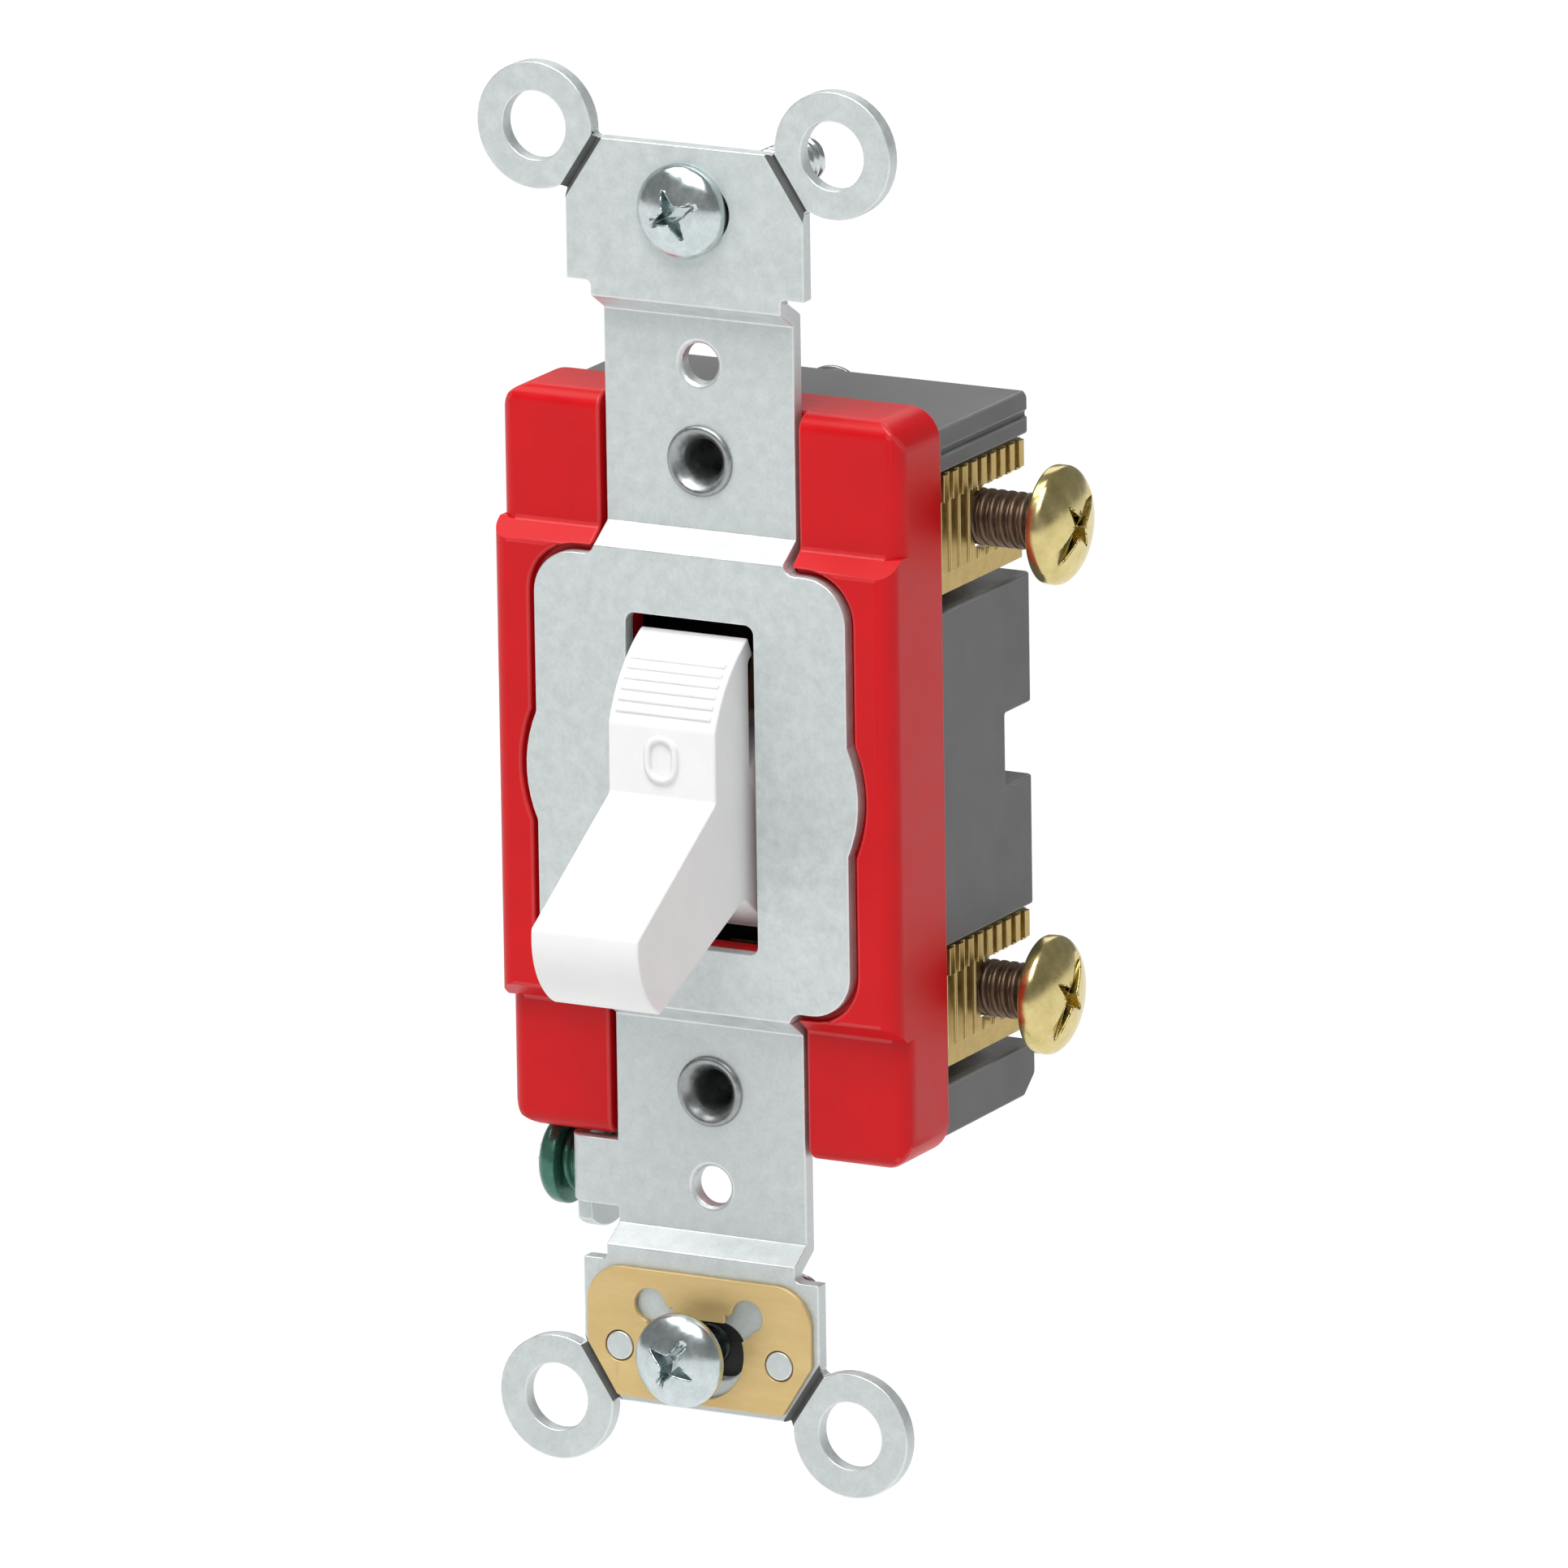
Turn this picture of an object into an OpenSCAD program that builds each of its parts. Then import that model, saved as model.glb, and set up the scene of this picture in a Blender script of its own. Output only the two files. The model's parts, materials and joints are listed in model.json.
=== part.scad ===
// Toggle wall switch: strap-mounted, single pole, side wired, with clamp terminals.
// X runs to the right, Y runs back into the wall, Z runs up. The lever rests in its lower, OFF position.
// The origin is midway between the two wall-plate holes, on the front face of the strap.

/* [Strap] */
// Distance between the two wall-plate holes
plate_hole_spacing = 60.325; // [60:0.005:60.6]
// Distance between the two box mounting screws
box_screw_spacing = 83.312; // [83:0.001:83.6]
// Thickness of the strap's steel
strap_t = 1.2; // [1:0.1:1.3]
// Width of the strap's centre plate
centre_w = 25; // [24.6:0.1:25.4]
// Height of the strap's centre plate
centre_h = 32; // [31.6:0.1:32.2]
// Width of the lever's opening
opening_w = 10.25; // [10:0.05:10.6]
// Height of the lever's opening
opening_h = 24.1; // [24:0.05:24.6]
// Outer diameter of each break-off ear ring
ear_ring_d = 9.2; // [8.8:0.1:9.6]

/* [Cover and body] */
// Width of the front cover
cover_w = 32.2; // [31.8:0.1:32.4]
// Height of the front cover
cover_h = 54.6; // [54:0.1:54.8]
// Depth at which the cover meets the rear body
parting_y = 6; // [5.9:0.05:6.05]
// Width of the rear body
body_w = 31.6; // [31.4:0.1:31.8]
// Height of the rear body
body_h = 51.7; // [51.4:0.1:52]
// Depth of the rear body's back face
body_back_y = 20.1; // [19.7:0.1:20.2]

/* [Lever] */
// Width of the lever
lever_w = 8.6; // [8.2:0.1:8.8]
// Angle between the lever's two positions
throw_deg = 54; // [50:1:54]
// Distance from the pivot to the lever's tip
lever_reach = 23.6; // [22:0.1:24]

/* [Screws] */
// Diameter of the terminal screws' threads
terminal_thread_d = 4.1; // [4:0.05:4.15]
// Diameter of the terminal screws' heads
terminal_head_d = 8.6; // [8:0.1:9]
// Diameter of the box mounting screws' threads
box_thread_d = 3.5; // [3.4:0.05:3.55]
// Diameter of the box mounting screws' heads
box_head_d = 6.9; // [6.6:0.1:7.2]
// Length of the box mounting screws under the head
box_screw_len = 19; // [16:0.5:22]

/* [Hidden] */

$fn = 64;
eps = 0.01;
fit_gap = 0.05;

// Strap: front faces of its three levels, and where it steps between them
centre_y = -2.1;
ear_y = -1.9;
centre_step_z = [16.7, 18.1];
ear_step_z = [33.6, 34.8];
centre_step_shift = -0.64;
ear_step_shift = 0.66;
neck_half = 7.6;
ear_half = 9.5;
ear_top_z = 46.3;
ear_low_z = 35.9;
ear_groove = [[9.5, 42.2], [6.8, 46.3]];
ear_ring_at = [11.9, 46.7];
ear_hole_d = 5;
ear_neck_w = 4.6;
groove_shift = 0.12;
strap_end_z = 53;
bump_half_z = 4;
bump_out = 0.85;
corner_r = 3.2;
fillet_r = 0.9;
slot_d = 4.3;
slot_len = 7.2;
plate_hole_r = 1.45;
plate_hole_rim_r = 1.75;
rim_depth = 0.3;
stake_at = [6.45, 42.1];
stake_r = 1.05;

// Ground tab on the strap's lower left
tab_z = [-32.5, -27.6];
tab_x = -11.8;
tab_bend_r = 1.6;
ground_at = [4.5, -30.7];
tab_lobe_r = 4.6;
ground_thread_r = 2.4;
ground_head_r = 3.35;
ground_head_x = -13.6;

// Rivets
rivet_z = 23.1;
rivet_r = 1.8;
rivet_bore_r = 1.4;
rivet_flange_r = 2.6;
rivet_proud = 0.45;

// Cover
end_front_y = -0.3;
mid_front_y = -1.9;
mid_step_z = [16.4, 17.6];
cover_corner_r = 2.4;
cover_edge_r = 1.3;
channel_half = 8;
well_gap = 0.5;
cover_wall_y = 1.3;
cavity_half_x = 13.6;
cavity_half_z = 20.3;

// Body
body_low_z = -26.1;
groove_half_z = 2.7;
groove_y = 15.8;
pocket_x = 8.8;
pocket_z = [12.2, 22.4];
wall_t = 1;
floor_y = 17.6;
groove_wall_y = 14.6;

// Lever, in its own frame: it points straight out along -Y from its pivot at the origin
pivot_y = 3.4;
knee = [8.8, 4.5];
knee_edge = [4.3, 13];
drum_centre = [-0.85, 1.3];
drum_r = 10.6;
drum_wall = 1.6;
hollow_reach = 4.6;
tip_half = 3.45;
tip_crown = 1.1;
trunnion_r = 1.6;
trunnion_half_x = 6.7;
boss_r = 3.2;
tail_r = 2.4;
tail_end = 3.4;
spring_bore_r = 1.6;
spring_top = 4.2;
plunger_top = -1.6;
nose_reach = 5;
nose_r = 1;
ridge_count = 6;
ridge_r = 0.18;

// Contact arm, in its own frame: it stands along Z with its pivot at the origin
arm_pivot_y = 11.3;
arm_throw_deg = 26;
arm_front = -1.6;
arm_back = -0.8;
arm_half_x = 2.2;
arm_z = [-7.6, 6.2];
arm_pin_r = 0.9;
arm_pin_half_x = 3.5;
contact_z = -6.6;
contact_r = 1.3;
contact_dome = 0.45;

// Terminals
plate_x = [14.6, 15.4];
plate_y = [6.6, 19.5];
plate_z = [13.3, 22.1];
lower_drop = 34.6;
lead_t = 0.8;
lead_z = [13.6, 16.2];
lead_half_x = 1.8;
bar_y = 13.7;
bearing_y = 12.9;
tooth_pitch = 1.44;
tooth_band = 2;
screw_at = [13.7, 17.6];
line_head_x = 20.9;
load_head_x = 19.8;
terminal_screw_len = 10.6;
terminal_head_h = 2.3;
clamp_x = [10.4, 12];
clamp_y = [9, 18.4];
clamp_z = [14.1, 21.1];
grip_pitch = 1.3;

// Box mounting screws
washer_t = 0.8;
washer_r = 3.6;
washer_lead = 4.35;
neck_len = 5.2;
neck_r = 1.4;
box_head_h = 2.1;
lower_screw_out = 3;

clip_t = 0.4;
clip_y = ear_y - clip_t - fit_gap;
clip_corner_r = 2.9;
clip_hole_r = 3.6;
clip_tongue_half = 2.1;
clip_tongue_z = 2.2;

// ---------- helpers ----------

module block(x, y, z)
    translate([x[0], y[0], z[0]]) cube([x[1] - x[0], y[1] - y[0], z[1] - z[0]]);

// Extrudes an outline drawn as (x, z) along Y
module along_y(y0, y1)
    translate([0, y1, 0]) rotate([90, 0, 0]) linear_extrude(y1 - y0) children();

// Extrudes an outline drawn as (y, z) along X
module along_x(x0, x1)
    translate([x0, 0, 0]) rotate([90, 0, 90]) linear_extrude(x1 - x0) children();

module rod_y(x, z, r, y0, y1)
    translate([x, y1, z]) rotate([90, 0, 0]) cylinder(r = r, h = y1 - y0);

module rod_x(y, z, r, x0, x1)
    translate([x0, y, z]) rotate([0, 90, 0]) cylinder(r = r, h = x1 - x0);

module both_sides() {
    children();
    mirror([1, 0, 0]) children();
}

module both_ends() {
    children();
    mirror([0, 0, 1]) children();
}

// A rectangle centred on the origin with round corners
module rounded_rect(w, h, r) {
    square([w - 2 * r, h], center = true);
    square([w, h - 2 * r], center = true);
    for (sx = [-1, 1], sy = [-1, 1])
        translate([sx * (w / 2 - r), sy * (h / 2 - r)]) circle(r);
}

// A square patch with a round bite out of it, which fills an inner corner at the origin
module corner_fill(r)
    difference() {
        translate([-eps, -eps]) square(r + eps);
        translate([r, r]) circle(r);
    }

// A dome of height h over a disc of radius r, standing on the XY plane
module dome(r, h) {
    ball_r = (r * r + h * h) / (2 * h);
    intersection() {
        translate([0, 0, h - ball_r]) sphere(ball_r, $fn = 96);
        cylinder(r = r, h = h + eps);
    }
}

// A slotted cross-recess head, standing on the XY plane
module combination_head(r, h, rim) {
    difference() {
        union() {
            cylinder(r = r, h = rim);
            translate([0, 0, rim - eps]) dome(r, h - rim + eps);
        }
        translate([-r, -0.14 * r, h - 0.3 * h]) cube([2 * r, 0.28 * r, h]);
        for (turn = [0, 90])
            rotate(turn) translate([-0.52 * r, -0.13 * r, h - 0.62 * h]) cube([1.04 * r, 0.26 * r, h]);
    }
}

// ---------- strap ----------

// The strap's section, from the middle outwards; shift moves the steps along Z on the back face
function sheet_half(depth, shifts) = [
    [centre_y + depth, centre_step_z[0] + shifts[0]],
    [depth, centre_step_z[1] + shifts[0]],
    [depth, ear_step_z[0] + shifts[1]],
    [ear_y + depth, ear_step_z[1] + shifts[1]],
    [ear_y + depth, strap_end_z]];

function mirrored_line(half) = concat([for (i = [len(half) - 1 : -1 : 0]) [half[i][0], -half[i][1]]], half);

function reversed(line) = [for (i = [len(line) - 1 : -1 : 0]) line[i]];

module sheet_section()
    polygon(concat(mirrored_line(sheet_half(0, [0, 0])),
        reversed(mirrored_line(sheet_half(strap_t, [centre_step_shift, ear_step_shift])))));

// Centre plate with a shallow bulge on each side; grow widens it all round
module centre_outline(grow) {
    bulge_r = (bump_half_z * bump_half_z + bump_out * bump_out) / (2 * bump_out);
    rounded_rect(centre_w + 2 * grow, centre_h + 2 * grow, corner_r + grow);
    for (side = [-1, 1])
        translate([side * (centre_w / 2 + bump_out - bulge_r), 0]) circle(bulge_r + grow, $fn = 128);
}

module ear_outline() {
    middle = (ear_groove[0] + ear_groove[1]) / 2;
    away = ear_ring_at - middle;
    polygon([[0, ear_low_z], [ear_half, ear_low_z], ear_groove[0], ear_groove[1], [0, ear_top_z]]);
    difference() {
        union() {
            translate(ear_ring_at) circle(d = ear_ring_d);
            translate(middle) rotate(atan2(away[1], away[0]))
                translate([-1, -ear_neck_w / 2]) square([norm(away) - 1, ear_neck_w]);
        }
        translate(ear_ring_at) circle(d = ear_hole_d);
    }
}

module strap_outline() {
    centre_outline(0);
    square([2 * neck_half, 2 * (ear_low_z + eps)], center = true);
    for (sx = [0, 1], sz = [0, 1])
        mirror([sx, 0]) mirror([0, sz]) {
            ear_outline();
            translate([neck_half, centre_h / 2]) corner_fill(fillet_r);
            translate([neck_half, ear_low_z]) mirror([0, 1]) corner_fill(fillet_r / 2);
        }
}

module break_groove() {
    middle = (ear_groove[0] + ear_groove[1]) / 2;
    run = ear_groove[1] - ear_groove[0];
    translate([middle[0], ear_y, middle[1]]) rotate([0, -atan2(run[1], run[0]), 0])
        translate([0, 0, -groove_shift]) rotate([45, 0, 0]) cube([ear_neck_w + 1, 0.55, 0.55], center = true);
}

module ground_tab() {
    block([tab_x + tab_bend_r, -neck_half + 1], [0, strap_t], tab_z);
    translate([tab_x + tab_bend_r, tab_bend_r, tab_z[0]])
        intersection() {
            difference() {
                cylinder(r = tab_bend_r, h = tab_z[1] - tab_z[0]);
                translate([0, 0, -1]) cylinder(r = tab_bend_r - strap_t, h = 10);
            }
            translate([-tab_bend_r, -tab_bend_r, 0]) cube([tab_bend_r, tab_bend_r, 9]);
        }
    block([tab_x, tab_x + strap_t], [tab_bend_r, ground_at[0]], tab_z);
    intersection() {
        rod_x(ground_at[0], ground_at[1], tab_lobe_r, tab_x, tab_x + strap_t);
        block([tab_x - 1, 0], [tab_bend_r, 20], [-40, tab_z[1]]);
    }
}

module mounting_strap() color("lightgray") {
    difference() {
        union() {
            intersection() {
                along_y(-6, 6) strap_outline();
                along_x(-30, 30) sheet_section();
            }
            ground_tab();
            both_sides() rod_y(stake_at[0], -stake_at[1], stake_r, clip_y, ear_y + eps);
        }
        along_y(-6, 6) rounded_rect(opening_w, opening_h, 0.7);
        both_ends() {
            rod_y(0, rivet_z, rivet_r + fit_gap, -6, 6);
            rod_y(0, plate_hole_spacing / 2, plate_hole_r, -6, 6);
            translate([0, -eps, plate_hole_spacing / 2]) rotate([-90, 0, 0])
                cylinder(r1 = plate_hole_rim_r, r2 = plate_hole_r - 0.05, h = rim_depth);
            along_y(-6, 6) translate([0, box_screw_spacing / 2]) {
                square([slot_len - slot_d, slot_d], center = true);
                for (side = [-1, 1])
                    translate([side * (slot_len - slot_d) / 2, 0]) circle(d = slot_d);
            }
            both_sides() break_groove();
        }
        rod_x(ground_at[0], ground_at[1], ground_thread_r + fit_gap, tab_x - 1, tab_x + 3);
    }
}

// ---------- cover and body ----------

// A block seen from above, drawn as (x, y), with its two front corners rounded
module front_rounded(half_w, front, back, r) {
    translate([-half_w, front + r]) square([2 * half_w, back - front - r]);
    translate([-half_w + r, front]) square([2 * (half_w - r), back - front]);
    for (side = [-1, 1])
        translate([side * (half_w - r), front + r]) circle(r);
}

module cover_shape(front, half_h)
    intersection() {
        along_y(-4, parting_y) rounded_rect(cover_w, cover_h, cover_corner_r);
        translate([0, 0, -half_h]) linear_extrude(2 * half_h)
            front_rounded(cover_w / 2, front, parting_y, cover_edge_r);
    }

// The cover's side view, drawn as (y, z), with its end edges rounded
module cover_ends()
    along_x(-20, 20) mirror([1, 0]) rotate(90)
        front_rounded(cover_h / 2, end_front_y, parting_y + 1, cover_edge_r);

module front_cover() color("crimson") {
    half_open_w = opening_w / 2 + 0.3;
    half_open_h = opening_h / 2 + 0.1;
    difference() {
        union() {
            intersection() {
                cover_shape(end_front_y, cover_h / 2);
                cover_ends();
            }
            intersection() {
                cover_shape(mid_front_y, cover_h / 2 - 4);
                along_x(-20, 20) polygon([
                    [mid_front_y, -mid_step_z[0]], [mid_front_y, mid_step_z[0]],
                    [end_front_y, mid_step_z[1]], [2, mid_step_z[1]],
                    [2, -mid_step_z[1]], [end_front_y, -mid_step_z[1]]]);
            }
        }
        along_y(-6, centre_y + strap_t + fit_gap) centre_outline(well_gap);
        both_ends() block([-channel_half, channel_half], [-6, strap_t + fit_gap], [centre_h / 2 - 1, 30]);
        block([-half_open_w, half_open_w], [-6, 6], [-half_open_h, half_open_h]);
        difference() {
            block([-cavity_half_x, cavity_half_x], [cover_wall_y, 9], [-cavity_half_z, cavity_half_z]);
            both_sides() block([5.2, 6.8], [0, 5.8], [-boss_r, boss_r]);
        }
        both_ends() {
            block([-cavity_half_x, cavity_half_x], [3, 9], [cavity_half_z + 5.2, cavity_half_z + 5.4]);
            rod_y(0, rivet_z, rivet_r + fit_gap, -6, 9);
        }
        both_sides() {
            rod_x(pivot_y, 0, trunnion_r + fit_gap, 5, 7);
            block([5, 7], [pivot_y, 7], [-trunnion_r - fit_gap, trunnion_r + fit_gap]);
        }
    }
}

// The body's side view, drawn as (y, z), with a large lower rear chamfer and a small upper one
module body_side() {
    low = body_low_z;
    top = body_low_z + body_h;
    polygon([[parting_y + fit_gap, low], [body_back_y - 2, low], [body_back_y, low + 1.6],
        [body_back_y, top - 0.8], [body_back_y - 0.8, top], [parting_y + fit_gap, top]]);
}

module body_top()
    translate([0, body_back_y + parting_y]) mirror([0, 1])
        front_rounded(body_w / 2, parting_y, body_back_y, 0.6);

module rear_body() color("dimgray") {
    side = body_w / 2;
    difference() {
        intersection() {
            along_x(-side, side) body_side();
            translate([0, 0, -40]) linear_extrude(80) body_top();
        }
        difference() {
            block([-13.8, pocket_x - wall_t], [0, floor_y], [-cavity_half_z, cavity_half_z]);
            block([-20, 20], [groove_wall_y, 20], [-groove_half_z - wall_t, groove_half_z + wall_t]);
            both_sides() {
                block([5.3, 6.7], [pivot_y + trunnion_r + 0.08, 16], [-1.5, 1.5]);
                both_ends() block([2.4, 4.2], [11.4, 18], [9, 10.8]);
            }
        }
        block([-20, 20], [groove_y, 30], [-groove_half_z, groove_half_z]);
        block([pocket_x + 0.6, 14.4], [0, groove_wall_y], [-10.8, 10.8]);
        both_ends() {
            block([pocket_x, 20], [0, 30], pocket_z);
            block([pocket_x - 2, pocket_x + 1], [0, 7.6], [lead_z[0] - 0.2, lead_z[1] + 0.2]);
            rod_y(0, rivet_z, rivet_r + fit_gap, 0, 30);
        }
        block([side - 0.35, 20], [parting_y + 0.6, 30], [23.6, 24.05]);
    }
    // Trunnion posts reach forward past the parting face
    both_sides() block([5.3, 6.7], [pivot_y + trunnion_r + 0.08, parting_y + 1], [-1.5, 1.5]);
}

module strap_rivets() color("silver")
    both_ends()
        translate([0, 0, rivet_z]) rotate([-90, 0, 0]) difference() {
            union() {
                cylinder(r = rivet_r, h = body_back_y);
                mirror([0, 0, 1]) dome(rivet_flange_r, rivet_proud);
                translate([0, 0, body_back_y]) dome(rivet_flange_r, rivet_proud);
            }
            translate([0, 0, -2]) cylinder(r = rivet_bore_r, h = body_back_y + 4);
        }

module stop_bumpers() color("black")
    both_sides() both_ends() block([2.5, 4.1], [9.95, 11.4], [9.1, 10.7]);

module clip_outline() {
    inset = 0.45;
    difference() {
        intersection() {
            translate([0, -41]) rounded_rect(2 * (ear_half - inset), 9.6, clip_corner_r);
            polygon([[-ear_half, -30], [ear_half, -30], [ear_half - inset, -ear_groove[0][1] + 0.2],
                [ear_groove[1][0] - 0.2, -45.9], [-ear_groove[1][0] + 0.2, -45.9],
                [-ear_half + inset, -ear_groove[0][1] + 0.2]]);
        }
        // A hole round the screw, with a tongue from above that presses on the thread
        translate([0, -box_screw_spacing / 2]) difference() {
            circle(clip_hole_r);
            translate([-clip_tongue_half, clip_tongue_z]) square([2 * clip_tongue_half, clip_hole_r]);
        }
        for (side = [-1, 1]) {
            translate([side * 3.9, -38.8]) circle(1.25);
            translate([side * 3.2, -39.6]) circle(1.1);
            translate([side * stake_at[0], -stake_at[1]]) circle(stake_r + 0.1);
        }
    }
}

module ground_clip() color("tan")
    along_y(clip_y, clip_y + clip_t) clip_outline();

// ---------- lever ----------

// Draws its children in the lever's frame, at the OFF position
module at_lever()
    translate([0, pivot_y, 0]) rotate([throw_deg / 2, 0, 0]) children();

// The drum's outline, drawn as (y, z) with its wall moved in by inset
module drum_outline(inset)
    mirror([1, 0]) intersection() {
        union() for (side = [-1, 1])
            intersection() {
                translate([drum_centre[0], side * drum_centre[1]]) circle(drum_r - inset, $fn = 128);
                translate([-20, min(0, 20 * side)]) square([40, 20]);
            }
        polygon([[drum_centre[0], -knee_edge[1]], [knee_edge[0], -knee_edge[1]], [knee[0], -knee[1]],
            [knee[0], knee[1]], [knee_edge[0], knee_edge[1]], [drum_centre[0], knee_edge[1]]]);
    }

// The hollow behind the drum's skirts, kept out of sight behind the opening at both positions
module drum_hollow()
    difference() {
        drum_outline(drum_wall);
        for (side = [-1, 1])
            rotate(-side * throw_deg / 2) translate([-hollow_reach - 40, -40]) square([40, 80]);
        translate([-20, -boss_r]) square([40, 2 * boss_r]);
    }

module handle_outline() {
    crown_r = (tip_half * tip_half + tip_crown * tip_crown) / (2 * tip_crown);
    corner = lever_reach - tip_crown;
    mirror([1, 0]) {
        polygon([[0, -2], [knee[0], -knee[1]], [corner, -tip_half], [corner, tip_half],
            [knee[0], knee[1]], [0, 2]]);
        intersection() {
            translate([lever_reach - crown_r, 0]) circle(crown_r);
            translate([corner - eps, -tip_half]) square([tip_crown + 1, 2 * tip_half]);
        }
    }
}

// Fine ridges across the drum above each legend face
module drum_ridges()
    both_ends() for (i = [0 : ridge_count - 1]) {
        turn = 52 + 4.4 * i;
        rod_x(-drum_centre[0] - drum_r * cos(turn), drum_centre[1] + drum_r * sin(turn), ridge_r,
            -lever_w / 2 + 0.5, lever_w / 2 - 0.5);
    }

module toggle_lever() color("white") at_lever() {
    half = lever_w / 2;
    difference() {
        union() {
            difference() {
                along_x(-half, half) drum_outline(0);
                along_x(-half - 1, half + 1) drum_hollow();
            }
            along_x(-half, half) handle_outline();
            rod_x(0, 0, boss_r, -half, half);
            rod_y(0, 0, tail_r, 0, tail_end);
            rod_x(0, 0, trunnion_r, -trunnion_half_x, trunnion_half_x);
            drum_ridges();
        }
        rod_y(0, 0, spring_bore_r, -spring_top, tail_end + 1);
    }
}

// A round wire wound into a coil along Z, as one closed skin
module coil(mean_r, wire_r, height, turns) {
    sides = 8;
    per_turn = 16;
    rings = turns * per_turn;
    points = [for (i = [0 : rings], k = [0 : sides - 1])
        let (turn = 360 * i / per_turn, around = 360 * k / sides, r = mean_r + wire_r * cos(around))
        [r * cos(turn), r * sin(turn), wire_r + (height - 2 * wire_r) * i / rings + wire_r * sin(around)]];
    walls = [for (i = [0 : rings - 1], k = [0 : sides - 1])
        let (a = i * sides + k, b = i * sides + (k + 1) % sides)
        [a, a + sides, b + sides, b]];
    first = [for (k = [0 : sides - 1]) k];
    last = [for (k = [sides - 1 : -1 : 0]) rings * sides + k];
    polyhedron(points, concat(walls, [first, last]), convexity = 10);
}

module toggle_spring() color("gainsboro") at_lever()
    translate([0, -plunger_top, 0]) rotate([90, 0, 0])
        coil(1.2, 0.2, spring_top - plunger_top - 0.1, 7);

module spring_plunger() color("goldenrod") at_lever() {
    rod_y(0, 0, spring_bore_r - fit_gap, -plunger_top, nose_reach - nose_r - 0.1);
    rod_y(0, 0, nose_r, -plunger_top, nose_reach);
    translate([0, nose_reach, 0]) sphere(nose_r);
}

// ---------- contacts ----------

// Draws its children in the contact arm's frame, at the open position
module at_arm()
    translate([0, arm_pivot_y, 0]) rotate([-arm_throw_deg / 2, 0, 0]) children();

module contact_arm() color("darkgoldenrod") at_arm() {
    block([-arm_half_x, arm_half_x], [arm_front, arm_back], arm_z);
    block([-arm_half_x, arm_half_x], [arm_back - 0.2, 0], [-arm_pin_r, arm_pin_r]);
    rod_x(0, 0, arm_pin_r, -arm_pin_half_x, arm_pin_half_x);
}

module moving_contact() color("silver") at_arm()
    translate([0, arm_back, contact_z]) rotate([-90, 0, 0]) {
        cylinder(r = contact_r, h = -arm_back - contact_dome + eps);
        translate([0, 0, -arm_back - contact_dome]) dome(contact_r, contact_dome);
    }

module arm_bearing() color("darkgoldenrod")
    difference() {
        union() {
            block([-3.6, 3.6], [bearing_y, bar_y], [-2.2, 2.2]);
            both_sides() block([2.8, 3.6], [arm_pivot_y, bar_y], [-2.2, 2.2]);
            both_sides() rod_x(arm_pivot_y, 0, 2.2, 2.8, 3.6);
        }
        rod_x(arm_pivot_y, 0, arm_pin_r + fit_gap, -5, 5);
    }

module fixed_contact() color("silver")
    rod_y(0, contact_z + 0.17, contact_r + 0.3, bar_y - 0.75, bar_y);

// ---------- terminals ----------

// The upper terminal's outer plate, forked round its screw
module terminal_plate() {
    fork_half = terminal_thread_d / 2 + 0.25;
    difference() {
        union() {
            block(plate_x, plate_y, plate_z);
            for (y = [plate_y[0] + 0.35 : tooth_pitch : plate_y[1] - 0.5]) {
                block([plate_x[0], plate_x[1] + 0.4], [y, y + 0.75], [plate_z[1] - tooth_band, plate_z[1]]);
                block([plate_x[0], plate_x[1] + 0.15], [y, y + 0.75], [plate_z[0] + 1.4, plate_z[1]]);
            }
        }
        rod_x(screw_at[0], screw_at[1], fork_half, 10, 20);
        block([10, 20], [screw_at[0], 30], [screw_at[1] - fork_half, screw_at[1] + fork_half]);
    }
}

// The strip from the upper plate to the middle of the body; bar_end_z is where it stops
module terminal_strip(bar_end_z) {
    block([-lead_half_x, plate_x[1]], [plate_y[0], plate_y[0] + lead_t], lead_z);
    block([-lead_half_x, lead_half_x], [plate_y[0], bar_y + lead_t], [lead_z[1] - lead_t, lead_z[1]]);
    block([-lead_half_x, lead_half_x], [bar_y, bar_y + lead_t], [bar_end_z, lead_z[1]]);
}

// Moves a piece of the upper terminal down to the lower one, the same way up
module at_lower_terminal() translate([0, 0, -lower_drop]) children();

module line_terminal() color("khaki") {
    terminal_plate();
    terminal_strip(-2.2);
}

module load_terminal() color("khaki") {
    at_lower_terminal() terminal_plate();
    mirror([0, 0, 1]) terminal_strip(4.7);
}

module clamp()
    difference() {
        block(clamp_x, clamp_y, clamp_z);
        rod_x(screw_at[0], screw_at[1], terminal_thread_d / 2 + fit_gap, 5, 20);
        // Grips for the wires, either side of the screw
        for (y = [clamp_y[0] + 0.7, clamp_y[1] - 1.5], step = [0 : 4]) {
            z = clamp_z[0] + 0.6 + grip_pitch * step;
            block([clamp_x[1] - 0.25, 20], [y, y + 0.8], [z, z + 0.5]);
        }
    }

module line_clamp() color("gold") clamp();

module load_clamp() color("gold") at_lower_terminal() clamp();

module terminal_screw(head_x) {
    translate([head_x, screw_at[0], screw_at[1]]) rotate([0, 90, 0]) rotate(38)
        combination_head(terminal_head_d / 2, terminal_head_h, 0.5);
    rod_x(screw_at[0], screw_at[1], terminal_thread_d / 2, head_x - terminal_screw_len, head_x + eps);
}

module line_screw() color("goldenrod") terminal_screw(line_head_x);

module load_screw() color("goldenrod") at_lower_terminal() terminal_screw(load_head_x);

// ---------- strap screws ----------

module ground_screw() color("seagreen") {
    translate([ground_head_x, ground_at[0], ground_at[1]]) rotate([0, -90, 0])
        combination_head(ground_head_r, 2.1, 0.7);
    rod_x(ground_at[0], ground_at[1], ground_thread_r, ground_head_x - eps, -5.6);
}

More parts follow.
